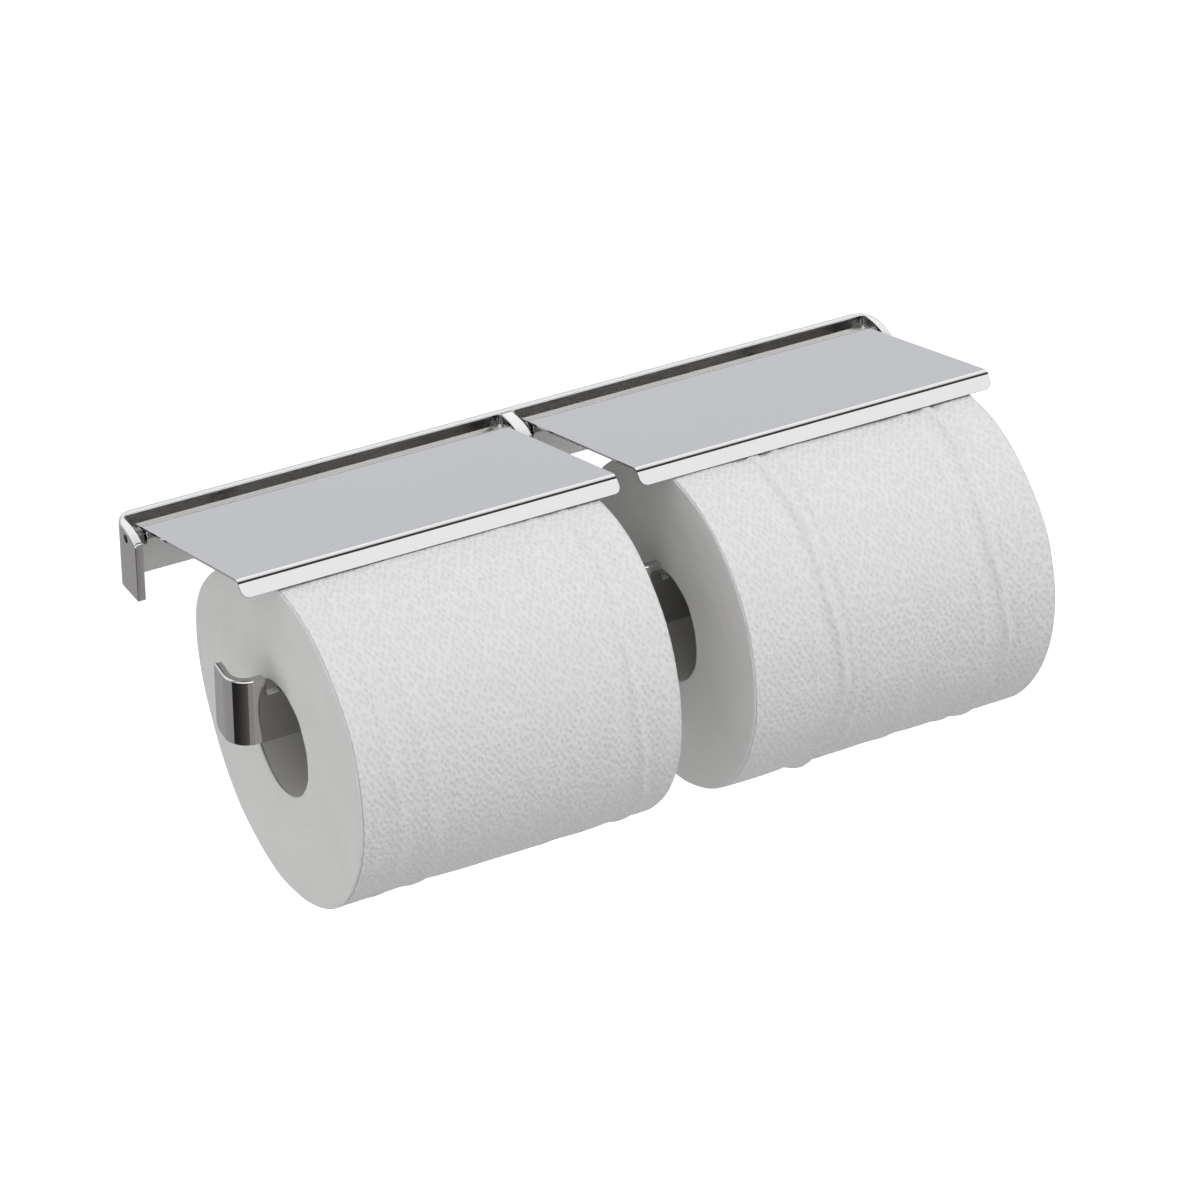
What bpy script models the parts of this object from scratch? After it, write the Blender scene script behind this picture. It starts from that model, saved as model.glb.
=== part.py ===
"""Double toilet roll dispenser: a bent flat-bar rail with two hanging arms, two lids and two rolls.

+X is to the right as seen from the front, -Y points into the room and +Z is up. The origin is the
middle of the rail's back face, which lies against the wall. Lengths are in metres.
"""

import math

import bmesh
import bpy

# The length of a roll, which the rail and the arms follow
ROLL_LENGTH = 0.118
ROLL_SIDE_ROOM = 0.0305
ARM_SIDE_ROOM = 0.0138

# Rail and ears, one strip of flat bar with both ends bent forward
RAIL_LENGTH = 2 * (ROLL_LENGTH + ROLL_SIDE_ROOM)
RAIL_HEIGHT = 0.0244
RAIL_THICKNESS = 0.0030
RAIL_CORNER_RADIUS = 0.0080
RAIL_INNER_RADIUS = 0.0016
EAR_DEPTH = 0.0193
CROWN_START = 0.0080
CROWN_DROP = 0.0026
RAIL_EDGE_ROUNDING = 0.0005

# Two countersunk holes in the rail for wall screws
SCREW_SPACING = 0.208
SCREW_HOLE_RADIUS = 0.0024
COUNTERSINK_RADIUS = 0.0046

# Upright welded to the middle of the rail, between the lids
DIVIDER_THICKNESS = 0.0048

# Hinge pins of the lids, and the washers on them
PIN_RADIUS = 0.00125
PIN_DEPTH = 0.0118
PIN_DROP = 0.0036
PIN_RECESS = 0.0017
PIN_PROUD = 0.0010
PIN_CHAMFER = 0.0002
WASHER_RADIUS = 0.0027

# Lids, folded from sheet
LID_THICKNESS = 0.0008
LID_EAR_GAP = 0.0029
LID_DIVIDER_GAP = 0.0015
LID_REAR_OVERHANG = 0.0053
LID_FOLD_RADIUS = 0.0008
LID_FLAT_LENGTH = 0.0825
LID_BEND_RADIUS = 0.0026
LIP_ANGLE = math.radians(60)
LIP_LENGTH = 0.0048
LIP_CORNER_RADIUS = 0.0027
LID_EDGE_ROUNDING = 0.0002
LUG_STANDOFF = 0.0020
LUG_RADIUS = 0.0036
LUG_INSET = 0.0003

# Rolls: paper wound on a cardboard tube
ROLL_RADIUS = 0.0594
ROLL_EDGE_ROUNDING = 0.0012
CORE_BORE_RADIUS = 0.0202
CORE_WALL = 0.0013
CORE_RECESS = 0.0008
ROLL_NOTCH_GAP = {"left": 0.0050, "right": 0.0029}
ROLL_AXIS_DEPTH = 0.0874
ROLL_AXIS_DROP = 0.0457

# Arms, bent from flat bar: a lip, a tab, a notched front bar and a side plate
ARM_THICKNESS = 0.003
ARM_HEIGHT = 0.0251
ARM_NOTCH_DEPTH = 0.0065
ARM_CORE_GAP = 0.0006
ARM_LIP_LENGTH = 0.0163
LIP_TRIM = 0.0003
ARM_LIP_LEAN = math.radians(5)
ARM_LIP_RADIUS = 0.008
ARM_LIP_TOP_CORNER = 0.0010
ARM_LIP_BOTTOM_CORNER = 0.0030
ARM_TAB_CORNER = 0.0013
ARM_TAB_WIDTH = 0.0119
ARM_NOTCH_TO_ROOT = ROLL_LENGTH + ARM_SIDE_ROOM
ARM_ROOT_RADIUS = 0.008
ARM_ROOT_TOP_DROP = 0.0120
ARM_EDGE_ROUNDING = 0.0004

# Clearances and helpers
SEAT_GAP = 0.0003
OVERRUN = 0.002
WELD_DISTANCE = 0.00001

# How finely the curves are divided
BEND_STEPS = 8
INNER_BEND_STEPS = 5
FOLD_STEPS = 5
CROWN_STEPS = 8
SLOPE_STEPS = 13
HOLE_SIDES = 24
CORE_SIDES = 64
ROLL_SIDES = 96
EDGE_STEPS = 4
EDGE_SEGMENTS = 2
EDGE_ANGLE = math.radians(40)
SHARP_ANGLE = math.radians(35)
FLAT_ANGLE = math.radians(0.1)

# Places worked out from the sizes above
HALF_RAIL = RAIL_LENGTH / 2
RAIL_TOP = RAIL_HEIGHT / 2
RAIL_BOTTOM = -RAIL_HEIGHT / 2
EAR_INNER = HALF_RAIL - RAIL_THICKNESS
HALF_DIVIDER = DIVIDER_THICKNESS / 2
PIN_Y = -PIN_DEPTH
PIN_Z = RAIL_TOP - PIN_DROP
PIN_HOLE_RADIUS = PIN_RADIUS + SEAT_GAP
LID_WIDTH = EAR_INNER - HALF_DIVIDER - LID_EAR_GAP - LID_DIVIDER_GAP
LID_CENTRE = HALF_DIVIDER + LID_DIVIDER_GAP + LID_WIDTH / 2
FLANGE_MIDDLE = LID_REAR_OVERHANG - LID_THICKNESS / 2
ROLL_Y = -ROLL_AXIS_DEPTH
ROLL_Z = RAIL_TOP - ROLL_AXIS_DROP
CORE_RADIUS = CORE_BORE_RADIUS + CORE_WALL
PAPER_BORE_RADIUS = CORE_RADIUS + SEAT_GAP
ARM_BAR_TOP = ROLL_Z + CORE_BORE_RADIUS - ARM_CORE_GAP
ARM_TAB_TOP = ARM_BAR_TOP + ARM_NOTCH_DEPTH
ARM_BOTTOM = ARM_TAB_TOP - ARM_HEIGHT
ARM_FRONT = ROLL_Y - ARM_THICKNESS / 2
ARM_BACK = ROLL_Y + ARM_THICKNESS / 2
ARM_ROOT_TOP = RAIL_TOP - ARM_ROOT_TOP_DROP
ARM_ROOT_BACK = -RAIL_CORNER_RADIUS - SEAT_GAP
ARM_OUTER = {"left": -HALF_DIVIDER - SEAT_GAP, "right": EAR_INNER - SEAT_GAP}

COLLECTION_NAME = "double_toilet_roll_dispenser"
SIDES = {"left": -1, "right": 1}


def clear_scene():
    for obj in list(bpy.data.objects):
        bpy.data.objects.remove(obj, do_unlink=True)


def new_collection(name):
    collection = bpy.data.collections.new(name)
    bpy.context.scene.collection.children.link(collection)
    return collection


def new_material(name, colour, roughness, metallic):
    material = bpy.data.materials.new(name)
    material.use_nodes = True
    shader = material.node_tree.nodes["Principled BSDF"]
    shader.inputs["Base Color"].default_value = (*colour, 1.0)
    shader.inputs["Roughness"].default_value = roughness
    shader.inputs["Metallic"].default_value = metallic
    material.diffuse_color = (*colour, 1.0)
    return material


def finish(obj, material, parent=None):
    """Give a part its own copy of a finish, and hang it on its parent without moving it."""
    own = material.copy()
    own.name = obj.name + "_finish"
    obj.data.materials.clear()
    obj.data.materials.append(own)
    if parent is not None:
        bpy.context.view_layer.update()
        obj.parent = parent
        obj.matrix_parent_inverse = parent.matrix_world.inverted()
    return obj


def mesh_object(name, mesh, collection):
    obj = bpy.data.objects.new(name, mesh)
    collection.objects.link(obj)
    mesh.shade_smooth()
    mesh.set_sharp_from_angle(angle=SHARP_ANGLE)
    return obj


def arc(centre, radius, start, end, steps):
    """Points on an arc in its own plane, from one angle to another in degrees."""
    points = []
    for step in range(steps + 1):
        angle = math.radians(start + (end - start) * step / steps)
        points.append((centre[0] + radius * math.cos(angle), centre[1] + radius * math.sin(angle)))
    return points


def outline_plate(name, points, thickness, collection):
    """A flat outline, filled and given a thickness, as a closed mesh."""
    curve = bpy.data.curves.new(name, "CURVE")
    curve.dimensions = "2D"
    curve.fill_mode = "BOTH"
    curve.extrude = thickness / 2
    spline = curve.splines.new("POLY")
    spline.points.add(len(points) - 1)
    for point, (across, up) in zip(spline.points, points):
        point.co = (across, up, 0, 1)
    spline.use_cyclic_u = True
    sketch = bpy.data.objects.new(name + "_sketch", curve)
    bpy.context.scene.collection.objects.link(sketch)
    bpy.context.view_layer.update()
    evaluated = sketch.evaluated_get(bpy.context.evaluated_depsgraph_get())
    mesh = bpy.data.meshes.new_from_object(evaluated)
    bpy.data.objects.remove(sketch, do_unlink=True)
    work = bmesh.new()
    work.from_mesh(mesh)
    bmesh.ops.remove_doubles(work, verts=work.verts, dist=WELD_DISTANCE)
    bmesh.ops.dissolve_limit(work, angle_limit=FLAT_ANGLE, verts=work.verts, edges=work.edges)
    bmesh.ops.recalc_face_normals(work, faces=work.faces)
    work.to_mesh(mesh)
    work.free()
    mesh.name = name
    return mesh_object(name, mesh, collection)


def side_plate(name, points, thickness, x, collection):
    """An outline drawn in Y and Z, thick along X and centred on x."""
    plate = outline_plate(name, points, thickness, collection)
    plate.rotation_euler = (math.radians(90), 0, math.radians(90))
    plate.location = (x, 0, 0)
    return plate


def front_plate(name, points, thickness, y, collection):
    """An outline drawn in X and Z, thick along Y and centred on y."""
    plate = outline_plate(name, points, thickness, collection)
    plate.rotation_euler = (math.radians(90), 0, 0)
    plate.location = (0, y, 0)
    return plate


def cylinder(name, radius, end_radius, length, sides, collection):
    """A round bar or cone along X, centred on its own origin."""
    work = bmesh.new()
    bmesh.ops.create_cone(
        work, cap_ends=True, segments=sides, radius1=radius, radius2=end_radius, depth=length
    )
    mesh = bpy.data.meshes.new(name)
    work.to_mesh(mesh)
    work.free()
    obj = mesh_object(name, mesh, collection)
    obj.rotation_euler = (0, math.radians(90), 0)
    return obj


def turned(name, profile, sides, collection):
    """A closed profile of radius and height, turned about its axis, which then lies along X."""
    mesh = bpy.data.meshes.new(name)
    edges = [(index, (index + 1) % len(profile)) for index in range(len(profile))]
    mesh.from_pydata([(radius, 0, height) for radius, height in profile], edges, [])
    obj = bpy.data.objects.new(name, mesh)
    collection.objects.link(obj)
    screw = obj.modifiers.new("turn", "SCREW")
    screw.axis = "Z"
    screw.angle = math.radians(360)
    screw.steps = sides
    screw.render_steps = sides
    screw.merge_threshold = WELD_DISTANCE
    screw.use_smooth_shade = True
    obj.rotation_euler = (0, math.radians(90), 0)
    return obj


def boolean(target, other, operation="DIFFERENCE"):
    modifier = target.modifiers.new(other.name, "BOOLEAN")
    modifier.operation = operation
    modifier.object = other
    modifier.solver = "EXACT"


def round_edges(obj, width):
    bevel = obj.modifiers.new("rounded_edges", "BEVEL")
    bevel.width = width
    bevel.segments = EDGE_SEGMENTS
    bevel.limit_method = "ANGLE"
    bevel.angle_limit = EDGE_ANGLE


def hide_cutters(cutters):
    for obj in cutters.objects:
        obj.hide_render = True
        obj.display_type = "WIRE"


def crown(top):
    """The falling top edge of an ear, seen from the side, from near the rail to the ear's front."""
    run = EAR_DEPTH - CROWN_START
    radius = (run * run + CROWN_DROP * CROWN_DROP) / (2 * CROWN_DROP)
    sweep = math.degrees(math.asin(run / radius))
    return arc((-CROWN_START, top - radius), radius, 90, 90 + sweep, CROWN_STEPS)


def rail_outline():
    """The rail and ears seen from above."""
    bend = HALF_RAIL - RAIL_CORNER_RADIUS
    outer = RAIL_CORNER_RADIUS
    inner = RAIL_INNER_RADIUS
    inner_x = EAR_INNER - inner
    inner_y = -RAIL_THICKNESS - inner
    points = [(-HALF_RAIL, -EAR_DEPTH)]
    points += arc((-bend, -outer), outer, 180, 90, BEND_STEPS)
    points += arc((bend, -outer), outer, 90, 0, BEND_STEPS)
    points += [(HALF_RAIL, -EAR_DEPTH), (EAR_INNER, -EAR_DEPTH)]
    points += arc((inner_x, inner_y), inner, 0, 90, INNER_BEND_STEPS)
    points += arc((-inner_x, inner_y), inner, 90, 180, INNER_BEND_STEPS)
    points += [(-EAR_INNER, -EAR_DEPTH)]
    return points


def make_pin_drill(cutters):
    """One long drill along the hinge line, for the ears, the divider and the lugs."""
    length = RAIL_LENGTH + 2 * OVERRUN
    drill = cylinder("pin_drill", PIN_HOLE_RADIUS, PIN_HOLE_RADIUS, length, HOLE_SIDES, cutters)
    drill.location = (0, PIN_Y, PIN_Z)
    return drill


def make_rail(parts, cutters, pin_drill, steel, parent):
    rail = outline_plate("back_rail", rail_outline(), RAIL_HEIGHT, parts)
    falling = crown(RAIL_TOP)
    (before_y, before_z), (last_y, last_z) = falling[-2:]
    slope = (last_z - before_z) / (last_y - before_y)
    front = last_y - OVERRUN
    above = RAIL_TOP + OVERRUN
    shaver_points = falling + [(front, last_z - OVERRUN * slope), (front, above), (-CROWN_START, above)]
    shaver = side_plate("crown_shaver", shaver_points, RAIL_LENGTH + 2 * OVERRUN, 0, cutters)
    boolean(rail, shaver)
    boolean(rail, pin_drill)
    for side, sign in SIDES.items():
        length = RAIL_THICKNESS + 2 * OVERRUN
        x = sign * SCREW_SPACING / 2
        drill = cylinder(
            side + "_screw_drill", SCREW_HOLE_RADIUS, SCREW_HOLE_RADIUS, length, HOLE_SIDES, cutters
        )
        drill.rotation_euler = (math.radians(90), 0, 0)
        drill.location = (x, -RAIL_THICKNESS / 2, 0)
        boolean(rail, drill)
        depth = COUNTERSINK_RADIUS - SCREW_HOLE_RADIUS
        mouth = COUNTERSINK_RADIUS + OVERRUN
        cone = cylinder(
            side + "_countersink", SCREW_HOLE_RADIUS, mouth, depth + OVERRUN, HOLE_SIDES, cutters
        )
        cone.rotation_euler = (math.radians(90), 0, 0)
        cone.location = (x, -RAIL_THICKNESS + depth - (depth + OVERRUN) / 2, 0)
        boolean(rail, cone)
    round_edges(rail, RAIL_EDGE_ROUNDING)
    return finish(rail, steel, parent)


def make_divider(parts, pin_drill, steel, parent):
    back = -RAIL_THICKNESS - SEAT_GAP
    points = [(back, RAIL_BOTTOM), (back, RAIL_TOP)]
    points += crown(RAIL_TOP)
    points += [(-EAR_DEPTH, RAIL_BOTTOM)]
    divider = side_plate("center_divider", points, DIVIDER_THICKNESS, 0, parts)
    boolean(divider, pin_drill)
    round_edges(divider, RAIL_EDGE_ROUNDING)
    return finish(divider, steel, parent)


def make_pins_and_washers(parts, steel, parent):
    """Three hinge pins, and a washer beside every lug."""
    ear_end = HALF_RAIL - PIN_RECESS
    lid_outer = EAR_INNER - LID_EAR_GAP
    lid_inner = HALF_DIVIDER + LID_DIVIDER_GAP
    lug_depth = LUG_INSET + LID_THICKNESS + PIN_PROUD
    ear_pin_inner = lid_outer - lug_depth
    divider_pin_end = lid_inner + lug_depth
    spans = {
        "left_hinge_pin": (-ear_end, -ear_pin_inner),
        "center_hinge_pin": (-divider_pin_end, divider_pin_end),
        "right_hinge_pin": (ear_pin_inner, ear_end),
    }
    for name, (start, end) in spans.items():
        pin = cylinder(name, PIN_RADIUS, PIN_RADIUS, end - start, HOLE_SIDES, parts)
        pin.location = ((start + end) / 2, PIN_Y, PIN_Z)
        chamfer = pin.modifiers.new("chamfer", "BEVEL")
        chamfer.width = PIN_CHAMFER
        chamfer.segments = 1
        chamfer.limit_method = "ANGLE"
        chamfer.angle_limit = EDGE_ANGLE
        finish(pin, steel, parent)
    for side, sign in SIDES.items():
        for place, start, end in (("ear", lid_outer, EAR_INNER), ("divider", HALF_DIVIDER, lid_inner)):
            half = (end - start) / 2 - SEAT_GAP
            profile = [
                (WASHER_RADIUS, half),
                (WASHER_RADIUS, -half),
                (PIN_HOLE_RADIUS, -half),
                (PIN_HOLE_RADIUS, half),
            ]
            washer = turned(side + "_" + place + "_washer", profile, HOLE_SIDES, parts)
            washer.location = (sign * (start + end) / 2, PIN_Y, PIN_Z)
            finish(washer, steel, parent)


def lid_path():
    """The middle of the lid's sheet seen from the side: distance forward of the pin, and height."""
    level = LUG_STANDOFF + LID_THICKNESS / 2
    bend_start = LID_FLAT_LENGTH - LID_REAR_OVERHANG
    fold = (LID_FOLD_RADIUS - FLANGE_MIDDLE, level - LID_FOLD_RADIUS)
    path = [(-FLANGE_MIDDLE, -LUG_RADIUS)]
    path += arc(fold, LID_FOLD_RADIUS, 180, 90, FOLD_STEPS)
    path.append((LUG_RADIUS, level))
    path += arc(
        (bend_start, level - LID_BEND_RADIUS), LID_BEND_RADIUS, 90, 90 - math.degrees(LIP_ANGLE), BEND_STEPS
    )
    forward, height = path[-1]
    along = (math.cos(LIP_ANGLE), -math.sin(LIP_ANGLE))
    straight = LIP_LENGTH - LIP_CORNER_RADIUS
    path.append((forward + straight * along[0], height + straight * along[1]))
    for step in range(1, BEND_STEPS + 1):
        turn = math.radians(90 * step / BEND_STEPS)
        reach = straight + LIP_CORNER_RADIUS * math.sin(turn)
        path.append((forward + reach * along[0], height + reach * along[1]))
    return path


def lid_half_widths(path):
    """Half the lid's width at each point of its path: full, then rounded at the lip's corners."""
    widths = [LID_WIDTH / 2] * (len(path) - BEND_STEPS)
    for step in range(1, BEND_STEPS + 1):
        turn = math.radians(90 * step / BEND_STEPS)
        widths.append(LID_WIDTH / 2 - LIP_CORNER_RADIUS * (1 - math.cos(turn)))
    return widths


def lid_rest_tilt():
    """How far the lid is raised when its lip, or on a larger roll its sheet, rests on the roll."""
    forward, height = lid_path()[-1]
    forward -= LID_THICKNESS / 2 * math.sin(LIP_ANGLE)
    height -= LID_THICKNESS / 2 * math.cos(LIP_ANGLE)
    lip_reach = math.hypot(forward, height)
    roll_reach = math.hypot(PIN_Y - ROLL_Y, ROLL_Z - PIN_Z)
    touching = ROLL_RADIUS + SEAT_GAP
    between = (lip_reach**2 + roll_reach**2 - touching**2) / (2 * lip_reach * roll_reach)
    roll_angle = math.atan2(ROLL_Z - PIN_Z, PIN_Y - ROLL_Y)
    on_lip = roll_angle + math.acos(between) - math.atan2(height, forward)
    on_sheet = roll_angle + math.asin((touching - LUG_STANDOFF) / roll_reach)
    return max(on_lip, on_sheet)


def make_lid(side, sign, parts, cutters, pin_drill, steel, parent):
    """A sheet with a lip in front, a folded flange at the rear and two lugs, its origin on the hinge line."""
    name = side + "_lid"
    path = lid_path()
    widths = lid_half_widths(path)
    vertices = []
    for (forward, height), half in zip(path, widths):
        vertices += [(-half, -forward, height), (half, -forward, height)]
    faces = [(2 * row, 2 * row + 2, 2 * row + 3, 2 * row + 1) for row in range(len(path) - 1)]
    mesh = bpy.data.meshes.new(name)
    mesh.from_pydata(vertices, [], faces)
    lid = mesh_object(name, mesh, parts)
    lid.location = (sign * LID_CENTRE, PIN_Y, PIN_Z)
    lid.rotation_euler = (-lid_rest_tilt(), 0, 0)
    sheet = lid.modifiers.new("sheet", "SOLIDIFY")
    sheet.thickness = LID_THICKNESS
    sheet.offset = 0
    level = LUG_STANDOFF + LID_THICKNESS / 2
    lug_points = [(FLANGE_MIDDLE, level), (FLANGE_MIDDLE, -LUG_RADIUS)]
    lug_points += arc((0, 0), LUG_RADIUS, -90, -180, HOLE_SIDES // 4)
    lug_points += [(-LUG_RADIUS, level)]
    for end, end_sign in SIDES.items():
        lug = side_plate(side + "_lid_" + end + "_lug", lug_points, LID_THICKNESS, 0, cutters)
        inset = LID_WIDTH / 2 - LUG_INSET - LID_THICKNESS / 2
        lug.location = (sign * LID_CENTRE + end_sign * inset, PIN_Y, PIN_Z)
        lug.rotation_euler.rotate(lid.rotation_euler)
        boolean(lid, lug, "UNION")
    boolean(lid, pin_drill)
    round_edges(lid, LID_EDGE_ROUNDING)
    return finish(lid, steel, parent)


def arm_plan(outer):
    """An arm seen from above; outer is the X of its side plate's outer face."""
    root_centre = (outer - ARM_ROOT_RADIUS, ARM_FRONT + ARM_ROOT_RADIUS)
    lip_centre = (outer - ARM_NOTCH_TO_ROOT - ARM_TAB_WIDTH + ARM_LIP_RADIUS, ARM_FRONT + ARM_LIP_RADIUS)
    lip_turn = 90 + math.degrees(ARM_LIP_LEAN)
    back = (math.sin(ARM_LIP_LEAN), math.cos(ARM_LIP_LEAN))
    straight = ARM_LIP_LENGTH - ARM_LIP_RADIUS
    outside = arc(lip_centre, ARM_LIP_RADIUS, 270, 270 - lip_turn, BEND_STEPS)
    inside = arc(lip_centre, ARM_LIP_RADIUS - ARM_THICKNESS, 270 - lip_turn, 270, BEND_STEPS)
    tip = (outside[-1][0] + straight * back[0], outside[-1][1] + straight * back[1])
    inner_tip = (inside[0][0] + straight * back[0], inside[0][1] + straight * back[1])
    points = [(outer, ARM_ROOT_BACK)]
    points += arc(root_centre, ARM_ROOT_RADIUS, 0, -90, BEND_STEPS)
    points += outside + [tip, inner_tip] + inside
    points += arc(root_centre, ARM_ROOT_RADIUS - ARM_THICKNESS, -90, 0, BEND_STEPS)
    points += [(outer - ARM_THICKNESS, ARM_ROOT_BACK)]
    return points, min(tip[1], inner_tip[1])


def slope(start, end):
    """A smooth rise from one point to another, level at both ends."""
    points = []
    for step in range(SLOPE_STEPS + 1):
        share = step / SLOPE_STEPS
        rise = (1 - math.cos(math.pi * share)) / 2
        points.append((start[0] + (end[0] - start[0]) * share, start[1] + (end[1] - start[1]) * rise))
    return points


def make_arm(side, parts, cutters, steel, parent):
    """A flat bar bent round the roll: lip, tab, notched front bar, and side plate up to the rail."""
    outer = ARM_OUTER[side]
    notch = outer - ARM_NOTCH_TO_ROOT
    plan, lip_end = arm_plan(outer)
    height = ARM_ROOT_TOP - ARM_BOTTOM
    arm = outline_plate(side + "_arm", plan, height, parts)
    arm.location = (0, 0, (ARM_ROOT_TOP + ARM_BOTTOM) / 2)
    above = ARM_ROOT_TOP + OVERRUN
    below = ARM_BOTTOM - OVERRUN
    front = ARM_FRONT - OVERRUN
    slope_start = ARM_FRONT + ARM_ROOT_RADIUS

    top = [(front, ARM_BAR_TOP)] + slope((slope_start, ARM_BAR_TOP), (-EAR_DEPTH, ARM_ROOT_TOP))
    top += [(-EAR_DEPTH, above), (front, above)]
    reach = ARM_NOTCH_TO_ROOT + OVERRUN
    boolean(arm, side_plate(side + "_bar_cut", top, reach, notch + reach / 2, cutters))

    bottom = slope((slope_start, ARM_BOTTOM), (-EAR_DEPTH, RAIL_BOTTOM))
    bottom += [(0, RAIL_BOTTOM), (0, below), (slope_start, below)]
    width = ARM_THICKNESS + 2 * OVERRUN
    boolean(arm, side_plate(side + "_root_cut", bottom, width, outer - ARM_THICKNESS / 2, cutters))

    left = notch - ARM_TAB_WIDTH - OVERRUN
    corner = (notch - ARM_TAB_CORNER, ARM_TAB_TOP - ARM_TAB_CORNER)
    tab = [(left, ARM_TAB_TOP)] + arc(corner, ARM_TAB_CORNER, 90, 0, EDGE_STEPS)
    tab += [(notch + OVERRUN, corner[1]), (notch + OVERRUN, above), (left, above)]
    depth = ARM_LIP_LENGTH + 2 * OVERRUN
    boolean(arm, front_plate(side + "_tab_cut", tab, depth, front + depth / 2, cutters))

    lip_back = lip_end - LIP_TRIM
    past = lip_back + OVERRUN
    inner = lip_back - ARM_LIP_BOTTOM_CORNER
    lip = [(inner, below)]
    lip += arc((inner, ARM_BOTTOM + ARM_LIP_BOTTOM_CORNER), ARM_LIP_BOTTOM_CORNER, -90, 0, EDGE_STEPS)
    upper = (lip_back - ARM_LIP_TOP_CORNER, ARM_TAB_TOP - ARM_LIP_TOP_CORNER)
    lip += arc(upper, ARM_LIP_TOP_CORNER, 0, 90, EDGE_STEPS)
    lip += [(upper[0], above), (past, above), (past, below)]
    lip_width = 2 * (ARM_LIP_RADIUS + OVERRUN)
    boolean(arm, side_plate(side + "_lip_cut", lip, lip_width, notch - ARM_TAB_WIDTH, cutters))
    round_edges(arm, ARM_EDGE_ROUNDING)
    return finish(arm, steel, parent)


def make_roll(side, parts, paper, card, parent):
    """Paper wound on a cardboard tube that hangs on the arm; both turn about the empty."""
    left_face = ARM_OUTER[side] - ARM_NOTCH_TO_ROOT + ROLL_NOTCH_GAP[side]
    centre = left_face + ROLL_LENGTH / 2
    axis = bpy.data.objects.new(side + "_roll_axis", None)
    parts.objects.link(axis)
    axis.location = (centre, ROLL_Y, ROLL_Z)
    bpy.context.view_layer.update()
    axis.parent = parent
    axis.empty_display_size = ROLL_RADIUS
    half = ROLL_LENGTH / 2
    inset = ROLL_EDGE_ROUNDING
    profile = arc((ROLL_RADIUS - inset, half - inset), inset, 90, 0, EDGE_STEPS)
    profile += arc((ROLL_RADIUS - inset, inset - half), inset, 0, -90, EDGE_STEPS)
    profile += [(PAPER_BORE_RADIUS, -half), (PAPER_BORE_RADIUS, half)]
    roll = turned(side + "_roll_paper", profile, ROLL_SIDES, parts)
    roll.location = axis.location
    finish(roll, paper, axis)
    tube_half = half - CORE_RECESS
    tube_profile = [
        (CORE_RADIUS, tube_half),
        (CORE_RADIUS, -tube_half),
        (CORE_BORE_RADIUS, -tube_half),
        (CORE_BORE_RADIUS, tube_half),
    ]
    tube = turned(side + "_roll_core", tube_profile, CORE_SIDES, parts)
    tube.location = axis.location
    finish(tube, card, axis)


def main():
    clear_scene()
    parts = new_collection(COLLECTION_NAME)
    cutters = new_collection("cutters")
    polished_steel = new_material("polished_steel", (0.63, 0.63, 0.64), 0.10, 1.0)
    paper = new_material("tissue_paper", (0.80, 0.80, 0.79), 0.95, 0.0)
    card = new_material("grey_card", (0.52, 0.50, 0.47), 0.90, 0.0)
    root = bpy.data.objects.new("dispenser", None)
    parts.objects.link(root)
    pin_drill = make_pin_drill(cutters)
    make_rail(parts, cutters, pin_drill, polished_steel, root)
    make_divider(parts, pin_drill, polished_steel, root)
    make_pins_and_washers(parts, polished_steel, root)
    for side, sign in SIDES.items():
        make_arm(side, parts, cutters, polished_steel, root)
        make_lid(side, sign, parts, cutters, pin_drill, polished_steel, root)
        make_roll(side, parts, paper, card, root)
    hide_cutters(cutters)
    bpy.context.view_layer.update()


main()
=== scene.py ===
# %% [markdown]
# # A toilet roll dispenser of polished steel bar
#
# The dispenser hangs on a wall. A rail of flat bar runs along the wall, and its two ends are bent
# forward into ears. Lids of thin sheet turn on pins between the ears and a divider in the middle, and
# two hooked arms carry the rolls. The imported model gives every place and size; this script only
# dresses it, in metres and in the model's own frame.

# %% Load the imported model
import math

import bmesh
import bpy
from mathutils import Matrix, Vector, noise


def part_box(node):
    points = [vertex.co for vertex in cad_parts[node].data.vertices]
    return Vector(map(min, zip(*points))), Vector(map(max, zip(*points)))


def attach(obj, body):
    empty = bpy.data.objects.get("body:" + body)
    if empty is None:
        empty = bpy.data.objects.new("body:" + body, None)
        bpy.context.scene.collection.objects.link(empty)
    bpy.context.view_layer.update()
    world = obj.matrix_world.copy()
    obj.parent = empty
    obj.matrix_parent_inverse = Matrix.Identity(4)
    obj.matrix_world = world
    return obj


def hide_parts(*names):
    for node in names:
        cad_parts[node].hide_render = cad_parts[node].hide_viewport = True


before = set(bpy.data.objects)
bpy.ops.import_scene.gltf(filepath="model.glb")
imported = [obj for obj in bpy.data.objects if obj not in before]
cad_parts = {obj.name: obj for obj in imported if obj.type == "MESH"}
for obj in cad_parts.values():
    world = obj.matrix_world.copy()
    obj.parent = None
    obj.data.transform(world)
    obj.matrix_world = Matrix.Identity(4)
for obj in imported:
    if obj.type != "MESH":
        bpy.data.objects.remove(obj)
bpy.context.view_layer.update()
print("nodes:", sorted(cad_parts))

# %% [markdown]
# ## Sizes taken from the model
#
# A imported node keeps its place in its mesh, so its box says where it is. The few sizes that a box
# can't give, such as the radius of a bend, are written down in a metalworker's words, here or at the
# piece that they belong to.

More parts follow.
